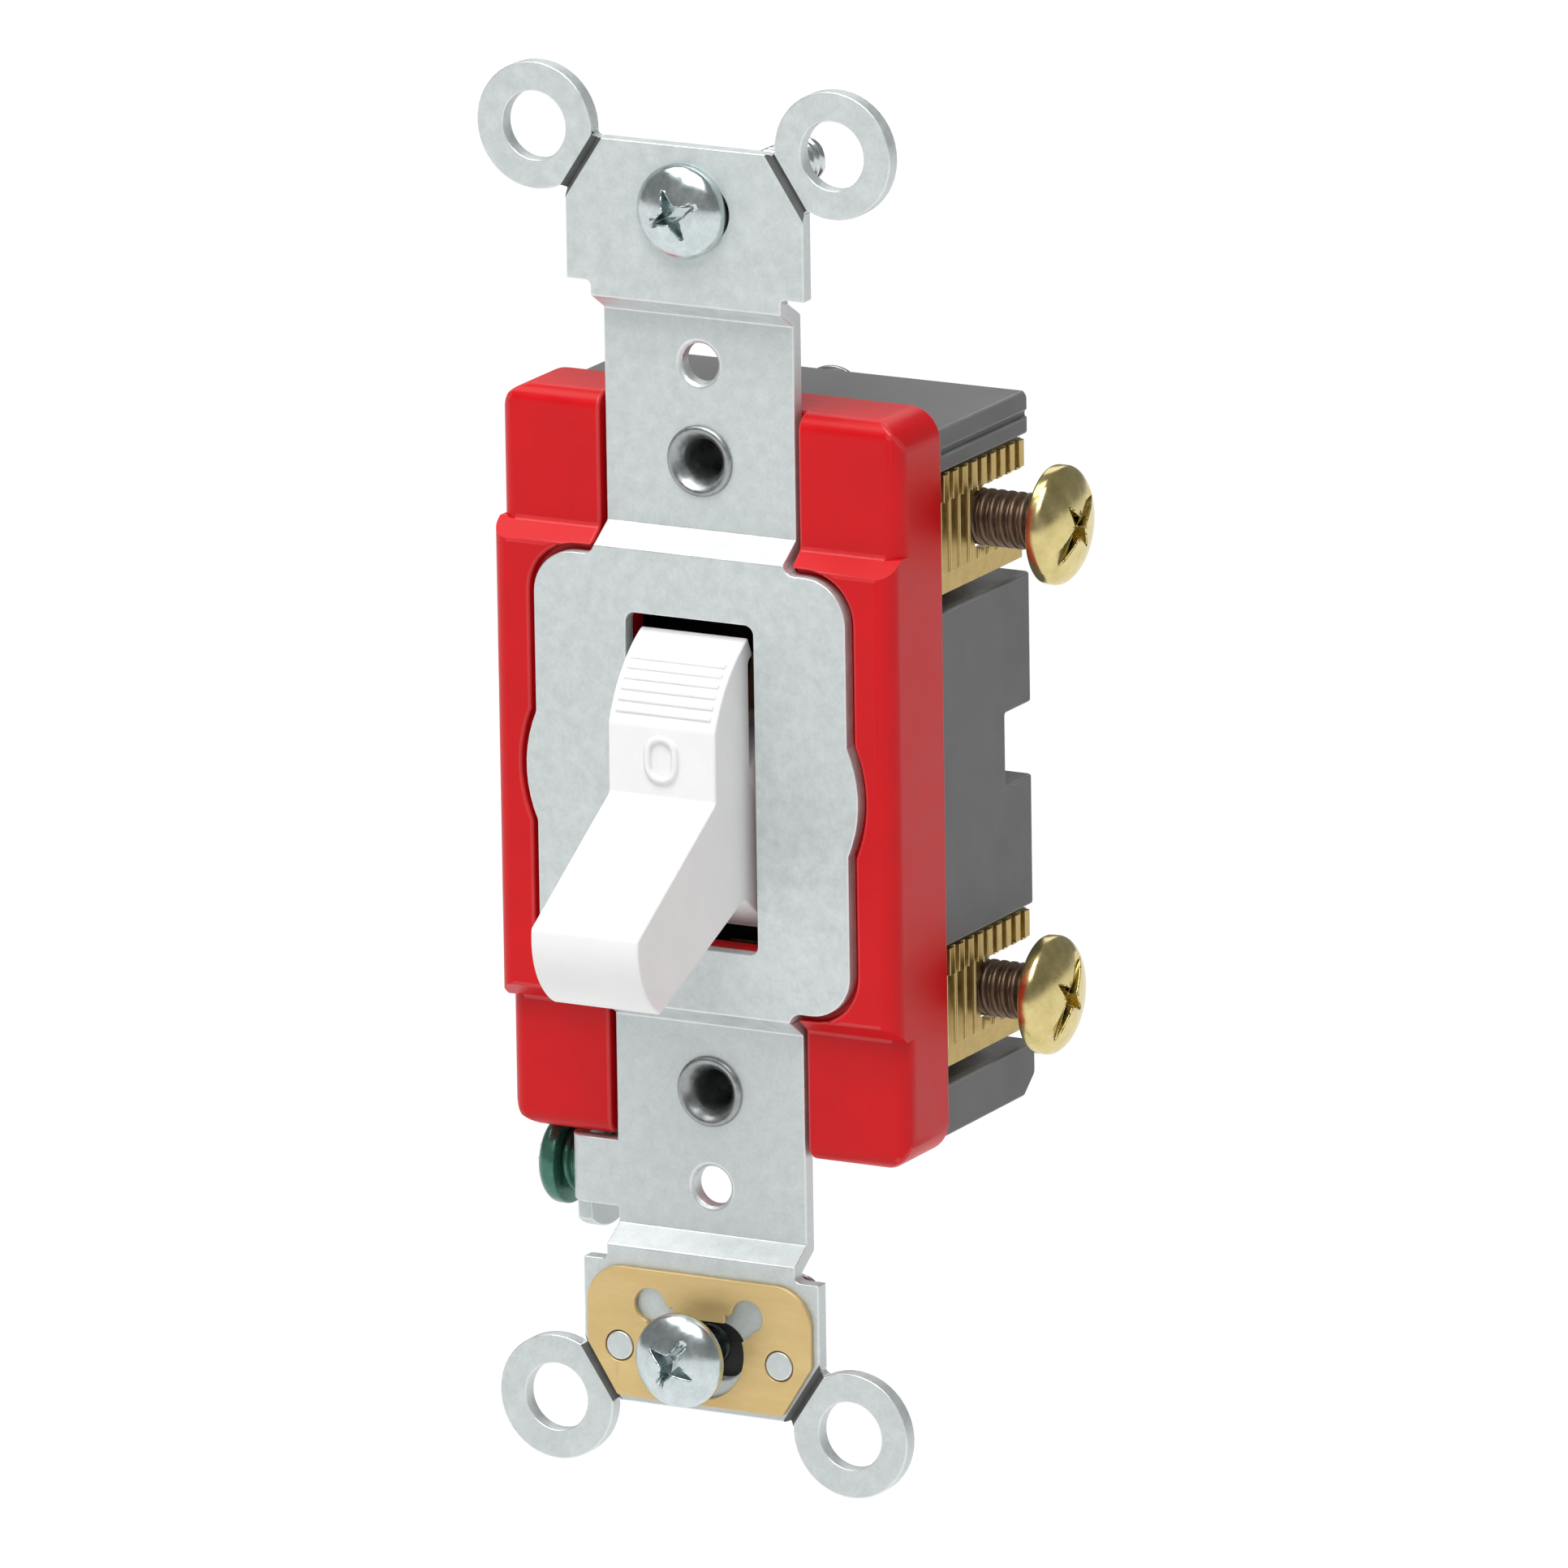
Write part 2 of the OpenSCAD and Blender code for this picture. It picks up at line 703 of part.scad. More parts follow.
// A mounting screw whose head's underside is at head_y
module mounting_screw(head_y) {
    translate([0, head_y, 0]) rotate([90, 0, 0]) combination_head(box_head_d / 2, box_head_h, 0.35);
    rod_y(0, 0, neck_r, head_y - eps, head_y + neck_len);
    rod_y(0, 0, box_thread_d / 2, head_y + neck_len - eps, head_y + box_screw_len - 1);
    translate([0, head_y + box_screw_len - 1, 0]) rotate([-90, 0, 0])
        cylinder(r1 = box_thread_d / 2, r2 = 1.1, h = 1);
}

module washer(head_y)
    difference() {
        rod_y(0, 0, washer_r, head_y + washer_lead, head_y + washer_lead + washer_t);
        rod_y(0, 0, neck_r + fit_gap, -20, 20);
    }

module top_mounting_screw() color("silver")
    translate([0, 0, box_screw_spacing / 2]) mounting_screw(ear_y);

module bottom_mounting_screw() color("silver")
    translate([0, 0, -box_screw_spacing / 2]) mounting_screw(ear_y - lower_screw_out);

module top_washer() color("black")
    translate([0, 0, box_screw_spacing / 2]) washer(ear_y);

module bottom_washer() color("black")
    translate([0, 0, -box_screw_spacing / 2]) washer(ear_y - lower_screw_out);

mounting_strap();
front_cover();
rear_body();
strap_rivets();
ground_clip();
stop_bumpers();
toggle_lever();
toggle_spring();
spring_plunger();
contact_arm();
moving_contact();
arm_bearing();
fixed_contact();
line_terminal();
load_terminal();
line_clamp();
load_clamp();
line_screw();
load_screw();
ground_screw();
top_washer();
bottom_washer();
top_mounting_screw();
bottom_mounting_screw();
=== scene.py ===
"""The looks of the toggle wall switch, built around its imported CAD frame. Metres, X right, Y back, Z up."""
import json
from math import cos, pi, radians, sin

import bmesh
import bpy
from mathutils import Matrix, Vector

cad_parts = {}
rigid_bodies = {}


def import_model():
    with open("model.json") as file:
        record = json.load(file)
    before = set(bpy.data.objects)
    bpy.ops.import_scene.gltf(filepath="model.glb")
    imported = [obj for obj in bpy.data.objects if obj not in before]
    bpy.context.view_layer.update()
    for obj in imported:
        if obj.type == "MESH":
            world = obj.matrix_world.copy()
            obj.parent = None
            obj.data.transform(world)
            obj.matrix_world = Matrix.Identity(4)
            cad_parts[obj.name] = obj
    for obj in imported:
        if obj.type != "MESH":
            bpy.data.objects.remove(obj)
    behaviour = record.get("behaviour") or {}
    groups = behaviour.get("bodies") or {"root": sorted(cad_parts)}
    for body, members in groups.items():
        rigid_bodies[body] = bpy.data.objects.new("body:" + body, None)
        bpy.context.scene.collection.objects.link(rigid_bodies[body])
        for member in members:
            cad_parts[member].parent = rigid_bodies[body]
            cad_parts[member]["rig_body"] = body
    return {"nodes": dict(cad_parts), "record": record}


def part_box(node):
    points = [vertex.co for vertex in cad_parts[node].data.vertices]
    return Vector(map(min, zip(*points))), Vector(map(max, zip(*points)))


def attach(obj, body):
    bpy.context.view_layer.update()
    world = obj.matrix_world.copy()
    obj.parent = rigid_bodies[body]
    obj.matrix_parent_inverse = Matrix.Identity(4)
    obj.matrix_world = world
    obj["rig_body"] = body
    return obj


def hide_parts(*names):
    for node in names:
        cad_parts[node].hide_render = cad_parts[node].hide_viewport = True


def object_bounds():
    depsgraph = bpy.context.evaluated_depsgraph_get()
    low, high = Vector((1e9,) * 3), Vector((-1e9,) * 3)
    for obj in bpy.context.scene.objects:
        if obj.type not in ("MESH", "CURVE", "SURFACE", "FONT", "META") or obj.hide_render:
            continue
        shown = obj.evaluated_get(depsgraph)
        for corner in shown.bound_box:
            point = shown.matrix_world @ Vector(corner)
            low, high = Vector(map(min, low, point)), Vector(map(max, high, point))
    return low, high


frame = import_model()
cad_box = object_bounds()

MM = 0.001

# Camera: angles in degrees, lengths in metres
CAMERA_AZIMUTH = 28.29
CAMERA_ELEVATION = 14.54
CAMERA_ROLL = -0.86
CAMERA_DISTANCE = 1.5254
CAMERA_TARGET = Vector((6.33, 0, 0.21)) * MM
SENSOR = 36
LENS = 494.6

# Stage
FLOOR_DROP = 0.32
FLOOR_HALF = 6
BACKDROP_GLOW = 1.02
WORLD_FILL = 0.25

# Lever, in its own frame: straight out along -Y from its pivot, in millimetres
LEVER_TILT = radians(27)
LEVER_PIVOT = Vector((0, 3.4, 0)) * MM
LEVER_HALF = 4.3
KNEE = (-8.8, 4.5)
KNEE_EDGE = (-4.3, 13)
LEGEND_FROM_KNEE = 2.8
LEGEND_PROUD = 0.2
LEGEND_SUNK = 0.1
LEVER_BORE_REACH = 6

# Fasteners, in millimetres
THREAD_PITCH = 0.794
THREAD_DEPTH = 0.42
THREAD_STEPS = 8
TERMINAL_THREAD_R = 2.05
BOX_THREAD_R = 1.75
GROUND_THREAD_R = 2.4
TERMINAL_HEAD = (2.3, 0.7)
BOX_HEAD = (2.1, 0.5)
GROUND_HEAD = (2.1, 0.7)
NECK_R = 1.4
NECK_LEN = 5.2
WASHER_BORE_R = 1.45
WASHER_EDGE = 0.2

# The underside of a screw head, as (distance in from its rim, height) in millimetres
HEAD_RIM = ((0.12, 0), (0.03, 0.06), (0, 0.18))

# Rivets, in millimetres, with the rolled rim and its funnel into the bore as (radius, height)
RIVET_SHANK_R = 1.8
RIVET_BORE_R = 1.4
RIVET_FLANGE_R = 2.6
RIVET_PROUD = 0.45
RIVET_LIP = ((RIVET_SHANK_R, 0), (2.5, 0), (RIVET_FLANGE_R, 0.1), (2.57, 0.3), (2.45, 0.42),
             (2.28, RIVET_PROUD), (2.12, 0.38), (1.85, 0.1), (1.6, -0.25), (1.45, -0.6), (RIVET_BORE_R, -1.2))

# Where the break-off grooves and the cover's stepped corners lie, in millimetres from the centre
GROOVE_FROM = (6, 41)
COVER_CORNER_X = 14.4
COVER_CORNER_Z = (16, 18.2)
SHORTEST_BEND = 10
CUT_EDGE_SHARE = 0.2

# Pieces whose flat faces are cut along the middle plane
HALVED = ("mounting_strap", "front_cover", "rear_body")


# ---------- mesh helpers ----------

def piece_from(bm, name, body, slot, material, *nodes):
    """Makes a piece out of a bmesh that is already in the row frame, and hides the CAD nodes that it stands in
    for.
    """
    bmesh.ops.recalc_face_normals(bm, faces=bm.faces)
    mesh = bpy.data.meshes.new(name)
    bm.to_mesh(mesh)
    bm.free()
    mesh.polygons.foreach_set("use_smooth", [True] * len(mesh.polygons))
    mesh.materials.append(material)
    obj = bpy.data.objects.new(name, mesh)
    bpy.context.scene.collection.objects.link(obj)
    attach(obj, body)
    if nodes:
        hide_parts(*nodes)
    return obj


def welded(node):
    """A CAD node's mesh with its vertices joined and its flat faces made whole.

    The faces are cut along the middle, through the holes there, so that no cut between a hole and an
    outline has to end on a corner that is rounded later.
    """
    bm = bmesh.new()
    bm.from_mesh(frame["nodes"][node].data)
    bmesh.ops.remove_doubles(bm, verts=bm.verts, dist=0.002 * MM)
    if node in HALVED:
        bmesh.ops.bisect_plane(bm, geom=bm.verts[:] + bm.edges[:] + bm.faces[:], dist=0.002 * MM,
                               plane_co=(0, 0, 0), plane_no=(1, 0, 0))
        for edge in bm.edges:
            edge.seam = all(abs(vert.co.x) < 0.003 * MM for vert in edge.verts)
    bmesh.ops.dissolve_limit(bm, angle_limit=radians(0.5), verts=bm.verts, edges=bm.edges,
                             delimit={"SEAM"})
    return bm


def is_sharp(edge, least=28):
    return len(edge.link_faces) == 2 and edge.calc_face_angle(0) > radians(least)


def set_weights(bm, rule):
    """Writes each edge's bevel weight, from 0 to 1, by rule(edge); other sharp edges keep a hard shade."""
    layer = bm.edges.layers.float.new("bevel_weight_edge")
    for edge in bm.edges:
        edge[layer] = rule(edge)
        edge.smooth = edge[layer] > 0 or not is_sharp(edge, 24)


def round_edges(obj, width, segments=3):
    """Rounds the weighted edges by up to width millimetres and keeps the flat faces flat."""
    bevel = obj.modifiers.new("rounding", "BEVEL")
    bevel.limit_method = "WEIGHT"
    bevel.width = width * MM
    bevel.segments = segments
    bevel.use_clamp_overlap = False
    bevel.miter_outer = "MITER_ARC"
    bevel.harden_normals = True
    shade = obj.modifiers.new("shading", "WEIGHTED_NORMAL")
    shade.weight = 90
    shade.keep_sharp = True


def refined(node, material, width, segments=3, rule=None, edge=None, groove=None):
    """A piece with a CAD node's shape and rounded edges; its rounded edges may take a lighter material, part
    wear and part painted highlight, and its groove walls a near-black one, painted shade.
    """
    bm = welded(node)
    if groove:
        # Groove walls take material 2, the near-black groove material: painted shade in the break-off grooves.
        for face in bm.faces:
            face.material_index = 2 if in_groove(face) else 0
    set_weights(bm, rule or (lambda edge: 1.0 if is_sharp(edge) else 0.0))
    body = frame["nodes"][node]["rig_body"]
    obj = piece_from(bm, node + "_finished", body, slot_of[node], material, node)
    for extra in (edge, groove):
        if extra:
            obj.data.materials.append(extra)
    round_edges(obj, width, segments)
    if edge:
        # The rounded edges take material 1, the lighter edge material: part wear, part painted highlight.
        obj.modifiers["rounding"].material = 1


def add_spun(bm, profile, place, segments=72, closed=False):
    """Turns a profile of (radius, height) pairs about Z, moved by place; an open profile ends on the axis."""
    rings = []
    for radius, height in profile:
        if radius < 1e-6:
            rings.append([bm.verts.new(place @ Vector((0, 0, height)))])
            continue
        turns = [2 * pi * k / segments for k in range(segments)]
        points = [Vector((radius * cos(turn), radius * sin(turn), height)) for turn in turns]
        rings.append([bm.verts.new(place @ point) for point in points])
    pairs = list(zip(rings, rings[1:]))
    if closed:
        pairs.append((rings[-1], rings[0]))
    for low, high in pairs:
        for k in range(segments):
            n = (k + 1) % segments
            corners = [low[k % len(low)], low[n % len(low)], high[n % len(high)], high[k % len(high)]]
            bm.faces.new(dict.fromkeys(corners))


def add_thread(bm, place, major, minor, pitch, start, end, point=0.8 * MM, segments=48):
    """A threaded shank along Z from start to end, with a pointed far end and closed caps."""
    steps = max(2, round((end - start) / pitch * THREAD_STEPS))
    tip = minor * 0.72
    rings = []
    for i in range(steps + 1):
        z = start + (end - start) * i / steps
        left = (end - z) / point
        limit = tip + (major - tip) * min(1, max(0, left))
        ring = []
        for k in range(segments):
            phase = (z / pitch - k / segments) % 1
            crest = max(0, min(1, 2.6 * (1 - abs(2 * phase - 1)) - 0.55))
            radius = min(minor + (major - minor) * crest, limit)
            turn = 2 * pi * k / segments
            ring.append(bm.verts.new(place @ Vector((radius * cos(turn), radius * sin(turn), z))))
        rings.append(ring)
    for low, high in zip(rings, rings[1:]):
        for k in range(segments):
            n = (k + 1) % segments
            bm.faces.new([low[k], low[n], high[n], high[k]])
    bm.faces.new(list(reversed(rings[0])))
    bm.faces.new(rings[-1])


def add_wedge(bm, place, half_x, half_y, low, high, taper):
    """A box on the Z axis from low to high, whose lower end is smaller by taper."""
    corners = []
    for z, scale in ((low, taper), (high, 1)):
        for sx, sy in ((-1, -1), (1, -1), (1, 1), (-1, 1)):
            corners.append(bm.verts.new(place @ Vector((sx * half_x * scale, sy * half_y * scale, z))))
    for face in ((3, 2, 1, 0), (4, 5, 6, 7), (0, 1, 5, 4), (1, 2, 6, 5), (2, 3, 7, 6), (3, 0, 4, 7)):
        bm.faces.new([corners[i] for i in face])


def carve(obj, cutters):
    """Cuts each bmesh in cutters out of obj, one after the other, and applies the result."""
    for cutter in cutters:
        bmesh.ops.recalc_face_normals(cutter, faces=cutter.faces)
        mesh = bpy.data.meshes.new("cutter")
        cutter.to_mesh(mesh)
        cutter.free()
        tool = bpy.data.objects.new("cutter", mesh)
        bpy.context.scene.collection.objects.link(tool)
        cut = obj.modifiers.new("cut", "BOOLEAN")
        cut.operation = "DIFFERENCE"
        cut.solver = "EXACT"
        cut.object = tool
        bpy.context.view_layer.update()
        graph = bpy.context.evaluated_depsgraph_get()
        whole = bpy.data.meshes.new_from_object(obj.evaluated_get(graph))
        obj.modifiers.clear()
        obj.data = whole
        bpy.data.objects.remove(tool)
        bpy.data.meshes.remove(mesh)


def weigh_object(obj, least=28):
    """Gives a finished object's sharp edges their bevel weight."""
    bm = bmesh.new()
    bm.from_mesh(obj.data)
    bmesh.ops.remove_doubles(bm, verts=bm.verts, dist=0.001 * MM)
    bmesh.ops.dissolve_limit(bm, angle_limit=radians(0.3), verts=bm.verts, edges=bm.edges)
    set_weights(bm, lambda edge: 1.0 if is_sharp(edge, least) else 0.0)
    bm.to_mesh(obj.data)
    bm.free()


# ---------- materials ----------

def node_material(name, dark, light, rough, metallic=0.0, mottle=700, grain=5200, relief=0.012, bump=0.35,
                  streaks=None, specular=0.5, coat=0.0):
    """A surface whose colour wanders between dark and light, with a fine grain in its gloss and relief."""
    material = bpy.data.materials.new(name)
    material.use_nodes = True
    tree = material.node_tree
    nodes, links = tree.nodes, tree.links
    shader = nodes["Principled BSDF"]
    shader.inputs["Metallic"].default_value = metallic
    shader.inputs["Specular IOR Level"].default_value = specular
    shader.inputs["Coat Weight"].default_value = coat
    shader.inputs["Coat Roughness"].default_value = 0.12

    where = nodes.new("ShaderNodeTexCoord")
    space = where.outputs["Object"]
    if streaks:
        mapping = nodes.new("ShaderNodeMapping")
        mapping.inputs["Scale"].default_value = streaks
        links.new(space, mapping.inputs["Vector"])
        space = mapping.outputs["Vector"]

    def noise(scale, detail, roughness):
        texture = nodes.new("ShaderNodeTexNoise")
        texture.inputs["Scale"].default_value = scale
        texture.inputs["Detail"].default_value = detail
        texture.inputs["Roughness"].default_value = roughness
        links.new(space, texture.inputs["Vector"])
        return texture.outputs["Fac"]

    def spread(value, low, high, to_low, to_high):
        node = nodes.new("ShaderNodeMapRange")
        ends = {"From Min": low, "From Max": high, "To Min": to_low, "To Max": to_high}
        for socket, number in ends.items():
            node.inputs[socket].default_value = number
        links.new(value, node.inputs["Value"])
        return node.outputs["Result"]

    broad = noise(mottle, 4, 0.6)
    fine = noise(grain, 3, 0.55)
    blend = nodes.new("ShaderNodeMath")
    blend.operation = "MULTIPLY_ADD"
    blend.inputs[1].default_value = 0.4
    links.new(fine, blend.inputs[0])
    links.new(spread(broad, 0.3, 0.7, 0, 0.6), blend.inputs[2])
    colour = nodes.new("ShaderNodeValToRGB")
    colour.color_ramp.elements[0].color = (*dark, 1)
    colour.color_ramp.elements[1].color = (*light, 1)
    links.new(blend.outputs["Value"], colour.inputs["Fac"])
    links.new(colour.outputs["Color"], shader.inputs["Base Color"])
    links.new(spread(broad, 0.3, 0.7, rough[0], rough[1]), shader.inputs["Roughness"])
    height = nodes.new("ShaderNodeBump")
    height.inputs["Strength"].default_value = bump
    height.inputs["Distance"].default_value = relief * MM
    links.new(fine, height.inputs["Height"])
    links.new(height.outputs["Normal"], shader.inputs["Normal"])
    return material


def make_materials():
    """One material for each of the record's slots, and a few more: lighter edges, part wear and part painted
    highlight; near-black groove walls, painted shade; and threads.
    """
    plain = node_material
    return {
        "strap_steel": plain("galvanised_steel", (0.55, 0.595, 0.595), (0.74, 0.79, 0.79), (0.44, 0.60), 0.65,
                             mottle=900, grain=3600, relief=0.02),
        # Lighter zinc for the rounded edges: part wear, part painted highlight.
        "strap_edge_wear_and_highlight": plain("zinc_edge_wear_and_painted_highlight", (0.68, 0.71, 0.71), (0.82, 0.85, 0.85), (0.34, 0.46), 0.75,
                            mottle=900, grain=3600, relief=0.02),
        # Near-black steel for the groove walls: painted shade in the break-off grooves.
        "strap_groove_painted_shade": plain("groove_painted_shade_steel", (0.09, 0.094, 0.094), (0.15, 0.156, 0.156), (0.5, 0.6), 0.4),
        "cover_plastic": plain("red_thermoset", (0.54, 0.002, 0.005), (0.64, 0.004, 0.009), (0.30, 0.42),
                               mottle=260, grain=6500, relief=0.01, bump=0.25, specular=0.24),
        # Lighter red for the rounded edges: part wear, part painted highlight.
        "cover_edge_wear_and_highlight": plain("red_edge_wear_and_painted_highlight", (0.56, 0.018, 0.022), (0.66, 0.035, 0.038), (0.26, 0.36),
                            mottle=260, grain=6500, relief=0.01, bump=0.25, specular=0.35),
        "body_plastic": plain("grey_thermoset", (0.086, 0.086, 0.090), (0.140, 0.138, 0.140), (0.38, 0.55),
                              mottle=420, grain=5200, relief=0.02),
        # Lighter grey for the rounded edges: part wear, part painted highlight.
        "body_edge_wear_and_highlight": plain("grey_edge_wear_and_painted_highlight", (0.15, 0.155, 0.16), (0.24, 0.245, 0.245), (0.36, 0.5),
                           mottle=420, grain=5200, relief=0.02),
        "rivet_steel": plain("rolled_steel", (0.24, 0.255, 0.255), (0.46, 0.48, 0.48), (0.26, 0.40), 0.9,
                             mottle=1600, grain=6000),
        "clip_brass": plain("tan_brass", (0.62, 0.44, 0.18), (0.78, 0.58, 0.27), (0.36, 0.5), 0.5,
                            mottle=650, grain=4200, relief=0.015, streaks=(0.3, 1, 1)),
        "bumper_rubber": plain("black_rubber", (0.012, 0.012, 0.012), (0.03, 0.03, 0.03), (0.6, 0.8)),
        "lever_plastic": plain("white_nylon", (0.82, 0.82, 0.82), (0.89, 0.89, 0.885), (0.32, 0.45),
                               mottle=300, grain=7000, relief=0.006, bump=0.2),
        "spring_steel": plain("spring_wire", (0.36, 0.36, 0.37), (0.60, 0.60, 0.61), (0.2, 0.35), 1.0),
        "plunger_plastic": plain("natural_acetal", (0.52, 0.46, 0.33), (0.66, 0.60, 0.46), (0.4, 0.55)),
        "arm_copper": plain("copper_strip", (0.50, 0.27, 0.12), (0.72, 0.45, 0.26), (0.25, 0.42), 1.0,
                            streaks=(1, 1, 0.2)),
        "contact_silver": plain("silver_alloy", (0.62, 0.62, 0.60), (0.82, 0.82, 0.80), (0.22, 0.36), 1.0),
        "terminal_brass": plain("stamped_brass", (0.34, 0.24, 0.07), (0.64, 0.47, 0.18), (0.28, 0.44), 0.95,
                                mottle=900, grain=4800),
        # Lighter brass for the rounded edges: part wear, part painted highlight.
        "terminal_edge_wear_and_highlight": plain("brass_edge_wear_and_painted_highlight", (0.52, 0.41, 0.18), (0.72, 0.59, 0.30), (0.24, 0.36), 0.95,
                               mottle=900, grain=4800),
        "clamp_brass": plain("nut_plate_brass", (0.36, 0.26, 0.09), (0.56, 0.42, 0.18), (0.3, 0.45), 1.0),
        "screw_brass": plain("polished_brass", (0.52, 0.43, 0.17), (0.80, 0.67, 0.32), (0.16, 0.28), 1.0,
                             mottle=900, grain=5200, relief=0.006),
        "thread_brass": plain("dull_brass_thread", (0.10, 0.065, 0.05), (0.22, 0.15, 0.10), (0.34, 0.5), 0.85,
                              mottle=1400, grain=5200),
        "screw_green": plain("green_dyed_steel", (0.03, 0.13, 0.09), (0.08, 0.24, 0.17), (0.22, 0.36), 0.6,
                             mottle=1100, coat=0.3),
        "washer_fibre": plain("black_fibre", (0.010, 0.010, 0.010), (0.03, 0.028, 0.026), (0.5, 0.7),
                              grain=3800, relief=0.03),
        "screw_zinc": plain("bright_zinc", (0.44, 0.51, 0.52), (0.74, 0.80, 0.80), (0.16, 0.28), 1.0,
                            mottle=900, grain=5200, relief=0.006),
    }


# ---------- pieces ----------

def along_x(edge):
    run = edge.verts[1].co - edge.verts[0].co
    return abs(run.x) > 0.999 * run.length


def strap_weight(edge):
    """Bends are rounded widely, and cut edges only broken."""
    if not is_sharp(edge, 20) or any(in_groove(face) for face in edge.link_faces):
        return 0.0
    sheet_faces = all(abs(face.normal.x) < 0.05 and abs(face.normal.y) > 0.3 for face in edge.link_faces)
    is_bend = sheet_faces and along_x(edge) and edge.calc_length() > SHORTEST_BEND * MM
    return 1.0 if is_bend else CUT_EDGE_SHARE


def in_groove(face):
    """Whether a face is a wall of one of the break-off grooves, on the front of the strap's ears."""
    centre = face.calc_center_median()
    at_ear = abs(centre.x) > GROOVE_FROM[0] * MM and abs(centre.z) > GROOVE_FROM[1] * MM
    return at_ear and 0.5 < -face.normal.y < 0.9


def cover_weight(edge):
    """All sharp edges, but for the corners where a step runs into the rounded side."""
    low, high = (z * MM for z in COVER_CORNER_Z)
    at_corner = all(abs(v.co.x) > COVER_CORNER_X * MM and low < abs(v.co.z) < high for v in edge.verts)
    return 1.0 if is_sharp(edge) and not at_corner else 0.0


def lever_weight(edge):
    """The long outer edges of the lever are rounded; its ridges and its inside stay crisp."""
    if not is_sharp(edge, 14):
        return 0.0
    at_side = all(abs(abs(v.co.x) - LEVER_HALF * MM) < 0.01 * MM for v in edge.verts)
    if at_side:
        outside = (edge.verts[0].co - LEVER_PIVOT).length > LEVER_BORE_REACH * MM
        return 1.0 if outside else 0.0
    return 1.0 if along_x(edge) and edge.calc_length() > 1.9 * LEVER_HALF * MM else 0.0


def facet_place(side):
    """The matrix of a legend facet: X across the lever, Y along the facet away from the knee, Z outwards."""
    run = Vector((0, KNEE_EDGE[0] - KNEE[0], side * (KNEE_EDGE[1] - KNEE[1]))).normalized()
    across = Vector((side, 0, 0))
    out = across.cross(run)
    foot = Vector((0, KNEE[0], side * KNEE[1])) + run * LEGEND_FROM_KNEE
    spin = Matrix((across, run, out)).transposed().to_4x4()
    lever = Matrix.Translation(LEVER_PIVOT) @ Matrix.Rotation(LEVER_TILT, 4, "X")
    return lever @ Matrix.Translation(foot * MM) @ spin


def add_prism(bm, place, outline, hole, low, high):
    """A raised shape with an outline and, if hole has points, the same number of points inside it."""
    levels = []
    for z in (low, high):
        levels.append([[bm.verts.new(place @ Vector((x * MM, y * MM, z * MM))) for x, y in loop]
                       for loop in (outline, hole) if loop])
    bottom, top = levels
    count = len(outline)
    for k in range(count):
        n = (k + 1) % count
        bm.faces.new([bottom[0][k], bottom[0][n], top[0][n], top[0][k]])
        if hole:
            bm.faces.new([bottom[1][n], bottom[1][k], top[1][k], top[1][n]])
            bm.faces.new([top[0][k], top[0][n], top[1][n], top[1][k]])
            bm.faces.new([bottom[0][n], bottom[0][k], bottom[1][k], bottom[1][n]])
    if not hole:
        bm.faces.new(top[0])
        bm.faces.new(list(reversed(bottom[0])))


def stadium(half_w, half_h, radius, count=12):
    """The points of a rectangle with round corners."""
    points = []
    for sx, sy, first in ((1, 1, 0), (-1, 1, 90), (-1, -1, 180), (1, -1, 270)):
        for k in range(count + 1):
            turn = radians(first + 90 * k / count)
            x = sx * (half_w - radius) + radius * cos(turn)
            y = sy * (half_h - radius) + radius * sin(turn)
            points.append((x, y))
    return points


def make_legend(material):
    """A raised ring for off on the upper facet and a raised bar for on on the lower one."""
    bm = bmesh.new()
    ring, opening, bar = stadium(1.35, 1.75, 1.3), stadium(0.85, 1.25, 0.8), stadium(0.28, 1.75, 0.2)
    add_prism(bm, facet_place(1), ring, opening, -LEGEND_SUNK, LEGEND_PROUD)
    add_prism(bm, facet_place(-1), bar, [], -LEGEND_SUNK, LEGEND_PROUD)
    set_weights(bm, lambda edge: 1.0 if is_sharp(edge) else 0.0)
    legend = piece_from(bm, "lever_legend", "lever", "lever_plastic", material)
    round_edges(legend, 0.07, 2)


def add_star(bm, place, reach, waist, low, high, taper):
    """A four-point star on the Z axis from low to high, whose lower end is smaller by taper."""
    rings = []
    for z, scale in ((low, taper), (high, 1)):
        ring = []
        for k in range(8):
            radius = scale * (waist if k % 2 else reach)
            ring.append(bm.verts.new(place @ Vector((radius * cos(k * pi / 4), radius * sin(k * pi / 4), z))))
        rings.append(ring)
    for k in range(8):
        n = (k + 1) % 8
        bm.faces.new([rings[0][k], rings[0][n], rings[1][n], rings[1][k]])
    bm.faces.new(list(reversed(rings[0])))
    bm.faces.new(rings[1])


def driver_recess(place, radius, height, style):
    """The cutters of a combination recess: a slot from rim to rim and a tapered star."""
    turned = place @ Matrix.Rotation(radians(style["turn"]), 4, "Z")
    slot = bmesh.new()
    half_slot, floor = style["slot"] * radius, style["slot_floor"] * height
    add_wedge(slot, turned, 1.2 * radius, half_slot, floor, 1.4 * height, 0.9)
    star = bmesh.new()
    reach, waist = style["reach"] * radius, style["waist"] * radius
    add_star(star, turned, reach, waist, 0.3 * height, 1.3 * height, 0.5)
    return [slot, star]


def head_profile(radius, height, rim, fullness):
    """A dome over a rim, as (radius, height) pairs from the axis of its base to its top; 2 is an ellipse."""
    profile = [(0, 0)] + [(radius - inset * MM, z * MM) for inset, z in HEAD_RIM]
    steps = 16
    for k in range(steps + 1):
        turn = pi / 2 * k / steps
        across = max(0, cos(turn))
        profile.append((radius * across, rim + (height - rim) * (1 - across ** fullness) ** (1 / fullness)))
    return profile


